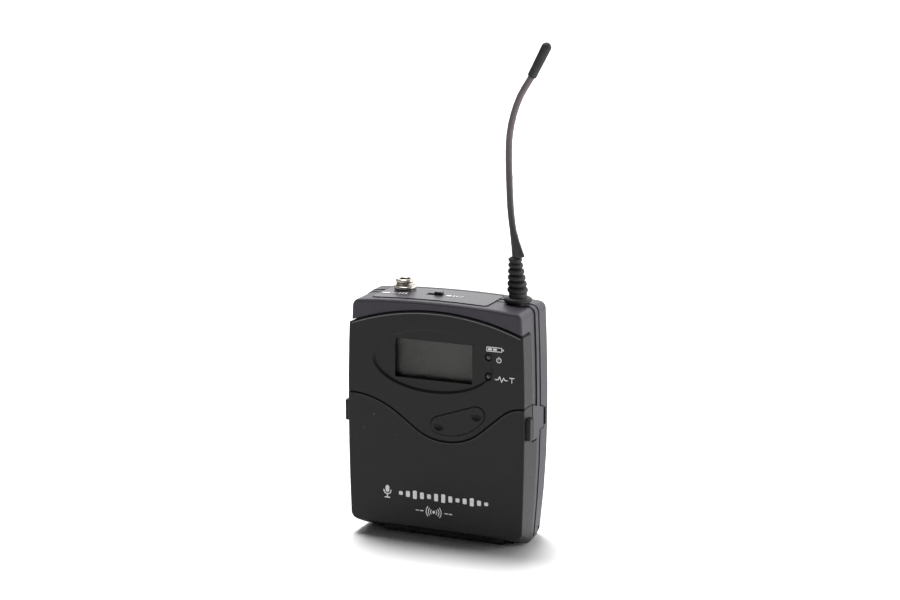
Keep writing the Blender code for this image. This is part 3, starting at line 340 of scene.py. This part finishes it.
def dress(obj, look):
    obj.data.materials.clear()
    obj.data.materials.append(LOOKS[look])
    return obj


# ---- the CAD nodes' own looks -------------------------------------------------------------------
SLOT_OF = {part["node"]: part["material_slot"] for part in frame["record"]["subparts"]}
for name, node in NODES.items():
    dress(node, "cover_black" if name == "battery_cover" else SLOT_OF[name])


def soften(name, width, segments=3, angle=38):
    """Rounds the sharp edges of a CAD node as the moulding tool leaves them."""
    step = NODES[name].modifiers.new("soft_edges", "BEVEL")
    step.width = width * MM
    step.segments = segments
    step.limit_method = "ANGLE"
    step.angle_limit = math.radians(angle)
    step.harden_normals = True
    step.use_clamp_overlap = True


# ---- shapes -------------------------------------------------------------------------------------
def mesh_piece(name, bm, look, body, smooth=35, replaces=()):
    """Turns a bmesh in millimetres into a piece of the object.

    A body of None is the case; a tuple of two bodies and two heights leaves it attached to no body,
    its transform baked into the mesh."""
    bmesh.ops.recalc_face_normals(bm, faces=bm.faces)
    bmesh.ops.scale(bm, vec=(MM, MM, MM), verts=bm.verts)
    mesh = bpy.data.meshes.new(name)
    bm.to_mesh(mesh)
    bm.free()
    mesh.shade_smooth()
    mesh.set_sharp_from_angle(angle=math.radians(smooth))
    obj = bpy.data.objects.new(name, mesh)
    bpy.context.scene.collection.objects.link(obj)
    dress(obj, look)
    if replaces:
        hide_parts(*replaces)
    if isinstance(body, tuple):
        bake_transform(obj)
    else:
        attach(obj, body or "case")
    return obj


def arc(centre, radius, start, end, steps):
    angles = [math.radians(start + (end - start) * i / steps) for i in range(steps + 1)]
    return [(centre[0] + radius * math.cos(a), centre[1] + radius * math.sin(a)) for a in angles]


def rounded(x0, x1, z0, z1, radius, steps=4):
    corners = (((x1 - radius, z0 + radius), -90), ((x1 - radius, z1 - radius), 0),
               ((x0 + radius, z1 - radius), 90), ((x0 + radius, z0 + radius), 180))
    return [p for centre, a in corners for p in arc(centre, radius, a, a + 90, steps)]


def stroke(points, width, closed=False):
    """The outline of a line drawn along points with round ends, as a list of convex quads."""
    pieces = []
    pairs = list(zip(points, points[1:]))
    if closed:
        pairs.append((points[-1], points[0]))
    half = width / 2
    for a, b in pairs:
        a, b = Vector(a), Vector(b)
        if (b - a).length < 1e-6:
            continue
        turn = math.degrees(math.atan2(b.y - a.y, b.x - a.x))
        pieces.append(arc(b, half, turn - 90, turn + 90, 5) + arc(a, half, turn + 90, turn + 270, 5))
    return pieces


def top_at(x):
    """Height of the crowned top at a distance from the middle."""
    return TOP - x * x / (2 * CROWN_RADIUS)


def printed(name, shapes, body, look, on_top=False):
    """Flat ink and painted highlight lines: convex outlines made into thin plates on the front or
    the top.

    Each plate stands a hair higher than the one before, so that crossing strokes don't flicker."""
    bm = bmesh.new()
    for i, outline in enumerate(shapes):
        verts = []
        for lift in (0.0, INK + i * 0.0004):
            if on_top:
                places = [(u, v, top_at(u) + 0.03 + lift) for u, v in outline]
            else:
                places = [(u, -FACE - lift, v) for u, v in outline]
            verts.append([bm.verts.new(place) for place in places])
        low, high = verts
        bm.faces.new(low)
        bm.faces.new(high[::-1])
        for j in range(len(low)):
            k = (j + 1) % len(low)
            bm.faces.new((low[j], high[j], high[k], low[k]))
    return mesh_piece(name, bm, look, body, smooth=20)


def turned(name, profile, centre, look, body, steps=64, replaces=(), tilt=None, smooth=50):
    """A closed profile of (radius, height) turned about a vertical axis; tilt moves it in space."""
    bm = bmesh.new()
    rings = []
    for i in range(steps):
        a = 2 * math.pi * i / steps
        rings.append([bm.verts.new((r * math.cos(a), r * math.sin(a), z)) for r, z in profile])
    for i in range(steps):
        here, there = rings[i], rings[(i + 1) % steps]
        for j in range(len(profile)):
            k = (j + 1) % len(profile)
            bm.faces.new((here[j], there[j], there[k], here[k]))
    bmesh.ops.remove_doubles(bm, verts=bm.verts, dist=1e-4)
    if tilt is not None:
        bmesh.ops.transform(bm, matrix=tilt, verts=bm.verts)
    bmesh.ops.translate(bm, vec=(centre[0], centre[1], 0), verts=bm.verts)
    return mesh_piece(name, bm, look, body, smooth, replaces)


# ---- pieces of the case -------------------------------------------------------------------------
for part, width in (("front_shell", 0.25), ("rear_shell", 0.3), ("mid_frame", 0.1),
                    ("display_panel", 0.12), ("battery_cover", 0.12), ("top_plate", 0.1),
                    ("rocker_button", 0.12), ("clip_bracket", 0.2), ("clip_tongue", 0.2),
                    ("battery_tray", 0.2)):
    soften(part, width)

# ---- the socket ---------------------------------------------------------------------------------
jack_base = top_at(JACK[0])


def thread_body(name, radius, depth, pitch, low, high, steps=40):
    """A screwed neck: a closed tube whose outside follows a helical thread."""
    bm = bmesh.new()
    rows = int((high - low) / pitch * 10)
    inner = 2.0
    rings = []
    for row in range(rows + 1):
        z = low + (high - low) * row / rows
        ring = []
        for i in range(steps):
            turn = i / steps
            phase = ((z - low) / pitch + turn) % 1.0
            fade = min(1.0, (high - z) / 0.3, (z - low) / 0.3)
            cut = depth * (1 - abs(2 * phase - 1)) * max(fade, 0.0)
            a = 2 * math.pi * turn
            ring.append(bm.verts.new(((radius - cut) * math.cos(a), (radius - cut) * math.sin(a),
                                      z)))
        rings.append(ring)
    for z in (high, low):
        rings.append([bm.verts.new((inner * math.cos(2 * math.pi * i / steps),
                                    inner * math.sin(2 * math.pi * i / steps), z))
                      for i in range(steps)])
    rings.append(rings[0])
    for near, far in zip(rings, rings[1:]):
        for i in range(steps):
            k = (i + 1) % steps
            bm.faces.new((near[i], near[k], far[k], far[i]))
    bmesh.ops.translate(bm, vec=(JACK[0], JACK[1], 0), verts=bm.verts)
    return mesh_piece(name, bm, "socket_metal", None, 40)


neck = thread_body("jack_neck", 3.02, 0.26, 0.62, 77.0, jack_base + 2.3)
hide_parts("jack_bushing")
collar = [(1.95, 3.68), (2.15, 3.8), (2.75, 3.82), (2.94, 3.76), (3.07, 3.6), (3.14, 3.38),
          (3.15, 3.05), (3.13, 2.8), (3.02, 2.66), (2.8, 2.56), (2.72, 2.46), (2.72, 2.28),
          (1.95, 2.28)]
turned("jack_collar", [(r, jack_base + z) for r, z in collar], JACK, "socket_metal", None,
       72, ("jack_bushing",))
ring = [(3.28, 1.46), (3.36, 1.54), (3.5, 1.55), (3.7, 1.48), (3.84, 1.34), (3.93, 1.12),
        (3.95, 0.92), (3.92, 0.72), (3.82, 0.58), (3.66, 0.5), (3.6, 0.4), (3.6, 0.15),
        (3.28, 0.15)]
turned("jack_ring", [(r, jack_base + z) for r, z in ring], JACK, "socket_metal", None,
       72, ("jack_nut",))

# ---- the antenna --------------------------------------------------------------------------------
aerial_base = top_at(AERIAL[0])
PIVOT_Z = 85.2
LEAN = -0.09
BOOT_BEND = ("case", "antenna", aerial_base + 1.8, aerial_base + 4.0)  # bodies and heights
flange = [(1.75, 1.85), (2.9, 1.9), (3.5, 1.92), (4.05, 1.84), (4.45, 1.64), (4.68, 1.36),
          (4.74, 1.06), (4.68, 0.76), (4.48, 0.5), (4.15, 0.32), (3.6, 0.26), (2.65, 0.26),
          (2.65, -1.5), (1.75, -1.5)]
turned("boot_collar", [(r, aerial_base + z) for r, z in flange], AERIAL, "rubber", None,
       72, ("boot_flange",))


def bead(radius, z, half, steps=8):
    """A rounded rib in a turned profile, from its top to its bottom."""
    return [(radius - half * 0.66 + half * 0.66 * math.sin(math.pi * i / steps),
             z + half * math.cos(math.pi * i / steps)) for i in range(steps + 1)]


def leaning_rings():
    """The boot's outer profile: six rounded ribs on a core that tapers upwards from the flange."""
    profile = [(1.4, 98.1)]
    ribs = ((2.34, 97.3, 0.56), (2.52, 95.45, 0.8), (2.78, 93.4, 0.84), (3.02, 91.3, 0.86),
            (3.27, 89.25, 0.88), (3.47, 87.2, 0.9))
    profile.append((1.75, 98.1))
    for radius, z, half in ribs:
        profile += bead(radius, z, half)
    skirt = aerial_base + 1.75
    profile += [(3.05, 86.2), (3.02, 85.7), (3.02, 85.2), (3.05, skirt), (1.95, skirt),
                (1.95, 85.2), (1.95, 85.7), (1.4, 86.2)]
    return profile


tilt = Matrix.Identity(4)
tilt[0][2] = LEAN
tilt = Matrix.Translation((0, 0, PIVOT_Z)) @ tilt @ Matrix.Translation((0, 0, -PIVOT_Z))
turned("boot_ribs", leaning_rings(), AERIAL, "rubber", BOOT_BEND, 72, ("boot_sleeve",),
       tilt)


def spline(route, per_span):
    """Points along a smooth curve through the route's points."""
    ends = [route[0], *route, route[-1]]
    points = []
    for i in range(len(route) - 1):
        a, b, c, d = (Vector(p) for p in ends[i:i + 4])
        for step in range(per_span):
            t = step / per_span
            points.append(0.5 * (2 * b + (c - a) * t + (2 * a - 5 * b + 4 * c - d) * t**2
                                 + (3 * b - a - 3 * c + d) * t**3))
    return [*points, Vector(route[-1])]


ROUTE = [(24.1, 86.4), (23.35, 97.5), (22.65, 104.2), (21.4, 113.7), (20.8, 124.5), (20.6, 132.6),
         (20.9, 139.0), (22.2, 145.4), (24.6, 151.8), (28.3, 158.0)]


def whip_sleeve():
    """The whip's sleeve: its lower end is torn open and flares to the right over the boot."""
    points = spline([(x, AERIAL[1], z) for x, z in ROUTE], 12)
    count = 28
    bm = bmesh.new()
    rings = []
    for i, point in enumerate(points):
        ahead = points[min(i + 1, len(points) - 1)] - points[max(i - 1, 0)]
        ahead.normalize()
        side = Vector((0, 1, 0)).cross(ahead).normalized()
        depth = ahead.cross(side)
        z = point.z
        flare = max(0.0, min(1.0, (108.0 - z) / 9.6)) if z > BOOT_MOUTH else 0.0
        nub = math.exp(-((z - 124.7) / 0.35) ** 2) * 0.22
        ring = []
        for j in range(count):
            a = 2 * math.pi * j / count
            across, along = math.cos(a), math.sin(a)
            radius = SLEEVE_RADIUS + 0.02 * math.sin(z * 2.1 + 3 * a)
            if z <= BOOT_MOUTH:
                radius = 1.05
            grow = 1.9 * flare**1.5 * max(0.0, across) ** 0.8 + 0.12 * flare
            ring.append(bm.verts.new(point + side * (radius + grow + nub * max(0, across)) * across
                                     + depth * (radius + 0.2 * flare) * along))
        rings.append(ring)
    for near, far in zip(rings, rings[1:]):
        for j in range(count):
            k = (j + 1) % count
            bm.faces.new((near[j], near[k], far[k], far[j]))
    bm.faces.new(rings[0][::-1])
    bm.faces.new(rings[-1])
    return mesh_piece("whip_sleeve", bm, "whip_sleeve", "antenna", 45,
                      ("antenna_whip",))


whip_sleeve()


# ---- printing: plain symbols where the pack has lettering ---------------------------------------
def circle(x, z, radius, steps=16):
    return arc((x, z), radius, 0, 360 * (1 - 1 / steps), steps - 1)


def ring_stroke(x, z, radius, width, start=0, end=360, steps=14):
    return stroke(arc((x, z), radius, start, end, steps), width)


def microphone(x, z, size):
    """A small upright microphone: capsule, cradle and stem."""
    w = size * 0.16
    return ([rounded(x - w, x + w, z - size * 0.05, z + size * 0.5, w * 0.98)]
            + ring_stroke(x, z + size * 0.1, size * 0.3, size * 0.09, 180, 360, 10)
            + stroke([(x, z - size * 0.2), (x, z - size * 0.46)], size * 0.09)
            + stroke([(x - size * 0.2, z - size * 0.48), (x + size * 0.2, z - size * 0.48)],
                     size * 0.09))


def level_bars():
    """A row of bars of mixed height, like a sound level."""
    heights = (1.3, 2.1, 2.9, 2.3, 1.6, 2.6, 3.0, 2.2, 1.4, 2.0, 2.8, 1.8, 1.2)
    shapes = []
    for i, height in enumerate(heights):
        x = -12.6 + i * 2.6
        shapes.append(rounded(x - 0.72, x + 0.72, 16.15 - height / 2, 16.15 + height / 2, 0.35))
    return shapes


printed("cover_symbols", microphone(-17.6, 16.2, 4.4) + level_bars(), "cover", "print_white")
waves = [circle(-0.5, 10.9, 0.5)]
for reach in (1.15, 1.95, 2.75):
    for middle in (0, 180):
        waves += ring_stroke(-0.5, 10.9, reach, 0.3, middle - 38, middle + 38, 6)
for shift in (-6.6, -5.0, 4.0, 5.6):
    waves += stroke([(shift - 0.4, 10.9), (shift + 0.6, 10.9)], 0.34)
printed("cover_waves", waves, "cover", "print_white")

battery_mark = stroke([(18.6, 68.95), (23.9, 68.95), (23.9, 70.3), (18.6, 70.3)], 0.24, True)
battery_mark += [rounded(24.15, 24.6, 69.3, 69.95, 0.12), rounded(19.1, 20.4, 69.3, 69.95, 0.1),
                 rounded(20.8, 22.1, 69.3, 69.95, 0.1)]
printed("label_battery", battery_mark, None, "print_white")
power_mark = ring_stroke(22.9, 66.1, 0.8, 0.24, 120, 420, 12)
power_mark += stroke([(22.9, 66.2), (22.9, 67.2)], 0.24)
printed("label_power", power_mark, None, "print_white")
peak_mark = stroke([(21.6, 59.5), (22.6, 59.5), (23.2, 60.6), (23.9, 58.8), (24.6, 60.3),
                    (25.1, 59.5), (26.0, 59.5)], 0.26)
peak_mark += stroke([(26.7, 60.5), (28.3, 60.5)], 0.26) + stroke([(27.5, 58.9), (27.5, 60.3)], 0.24)
printed("label_peak", peak_mark, None, "print_white")


def top_marks():
    """Plain marks on the top plate: a microphone by the socket and a muted one by the slider."""
    u, v = -21.4, -2.3
    shapes = [rounded(u - 1.9, u + 0.9, v - 0.75, v + 0.75, 0.7)]
    shapes += stroke([(u + 1.5, v), (u + 3.2, v)], 0.45)
    for i in range(3):
        shapes += stroke([(u + 4.4 + 1.2 * i, v - 0.8), (u + 4.4 + 1.2 * i, v + 0.8)], 0.45)
    u, v = 0.6, -1.3
    shapes += [rounded(u - 1.0, u + 1.0, v - 0.65, v + 0.65, 0.55)]
    shapes += stroke([(u + 1.8, v - 0.7), (u + 1.8, v + 0.7)], 0.4)
    shapes += stroke([(u + 2.9, v - 0.7), (u + 2.9, v + 0.7)], 0.4)
    shapes += stroke([(u + 3.9, v - 0.7), (u + 4.9, v + 0.7)], 0.4)
    return shapes


printed("top_symbols", top_marks(), None, "print_white", on_top=True)


# ---- painted highlights along the seams' chamfered edges ----------------------------------------
def wave_points(x, z, steps, offset):
    """Points along a path of (length, turn in degrees) steps, moved sideways by an offset."""
    heading = 0.0
    points = []
    for size, turn in steps:
        pieces = 1 if turn == 0 else 8
        for _ in range(pieces):
            points.append((x - offset * math.sin(heading), z + offset * math.cos(heading)))
            bend = math.radians(turn) / pieces
            length = size if turn == 0 else 2 * size * math.sin(abs(bend) / 2)
            x += length * math.cos(heading + bend / 2)
            z += length * math.sin(heading + bend / 2)
            heading += bend
    return [*points, (x, z + offset)]


WAVE = ((2.5, 0), (31.0, -36), (7.6, 0), (18.5, 36), (0.9, 0), (17.5, 41.3), (10.24, 0),
        (11.6, -41.3), (4.0, 0))
# painted highlight: a thin stroke, in key_black and so paler than the cover, stands for light caught
# by the cover's chamfered top edge along the wave
seam = [p for p in wave_points(-34.0, 50.2, WAVE, -0.72) if abs(p[0]) < 31.2]
printed("cover_edge_painted_highlight", stroke(seam, 0.2), "cover", "key_black")
# painted highlight: a pale grey stroke stands for light caught by the panel's chamfered top edge
# along the arch
arch = arc((0, -4.2), 83.72, 111.2, 68.8, 28)
printed("panel_edge_painted_highlight", stroke(arch, 0.34), None, "painted_highlight_grey")

# ---- camera, light, floor -----------------------------------------------------------------------
AZIMUTH, ELEVATION = math.radians(22.95), math.radians(12.97)
back = Vector((math.sin(AZIMUTH) * math.cos(ELEVATION), -math.cos(AZIMUTH) * math.cos(ELEVATION),
               math.sin(ELEVATION)))
camera = bpy.data.objects.new("camera", bpy.data.cameras.new("camera"))
bpy.context.scene.collection.objects.link(camera)
camera.data.sensor_width = 36
camera.data.lens = 89.2
camera.data.clip_start, camera.data.clip_end = 0.01, 20
camera.location = Vector((0.4, 0, 81.9)) * MM + back * 0.747
camera.rotation_euler = back.to_track_quat("Z", "Y").to_euler()
bpy.context.scene.camera = camera


def softbox(name, place, size, power, aim=(0, 0, 0.06), colour=(1, 1, 1)):
    lamp = bpy.data.lights.new(name, "AREA")
    lamp.shape = "RECTANGLE"
    lamp.size, lamp.size_y = size
    lamp.energy = power
    lamp.color = colour
    obj = bpy.data.objects.new(name, lamp)
    bpy.context.scene.collection.objects.link(obj)
    obj.location = place
    obj.rotation_euler = (Vector(place) - Vector(aim)).to_track_quat("Z", "Y").to_euler()


softbox("back_light", (0.1, 1.3, 0.6), (2.4, 0.8), 17.0)
softbox("right_light", (1.15, 0.35, 0.3), (0.8, 0.5), 8.4)
softbox("front_light", (-0.9, -0.9, 0.9), (0.6, 0.6), 0.55)

sun = bpy.data.objects.new("sky_light", bpy.data.lights.new("sky_light", "SUN"))
sun.data.energy = 4.4
sun.data.angle = math.radians(22)
sun.rotation_euler = Vector((-0.18, 0.20, 1.0)).to_track_quat("Z", "Y").to_euler()
bpy.context.scene.collection.objects.link(sun)

world = bpy.data.worlds.new("studio")
bpy.context.scene.world = world
world.use_nodes = True
world.node_tree.nodes["Background"].inputs["Color"].default_value = (1, 1, 1, 1)
world.node_tree.nodes["Background"].inputs["Strength"].default_value = 0.06

floor_mesh = bpy.data.meshes.new("floor")
floor_mesh.from_pydata([(-6, -6, 0), (6, -6, 0), (6, 6, 0), (-6, 6, 0)], [], [(0, 1, 2, 3)])
floor = bpy.data.objects.new("floor", floor_mesh)
bpy.context.scene.collection.objects.link(floor)
white = Nodes("floor_white")
white.put(Base_Color=white.mix(white.noise(3.0), (0.93, 0.93, 0.93), (0.95, 0.95, 0.95)),
          Roughness=0.6, Specular_IOR_Level=0.2)
floor_mesh.materials.append(white.material)
bpy.context.scene.view_settings.view_transform = "Standard"
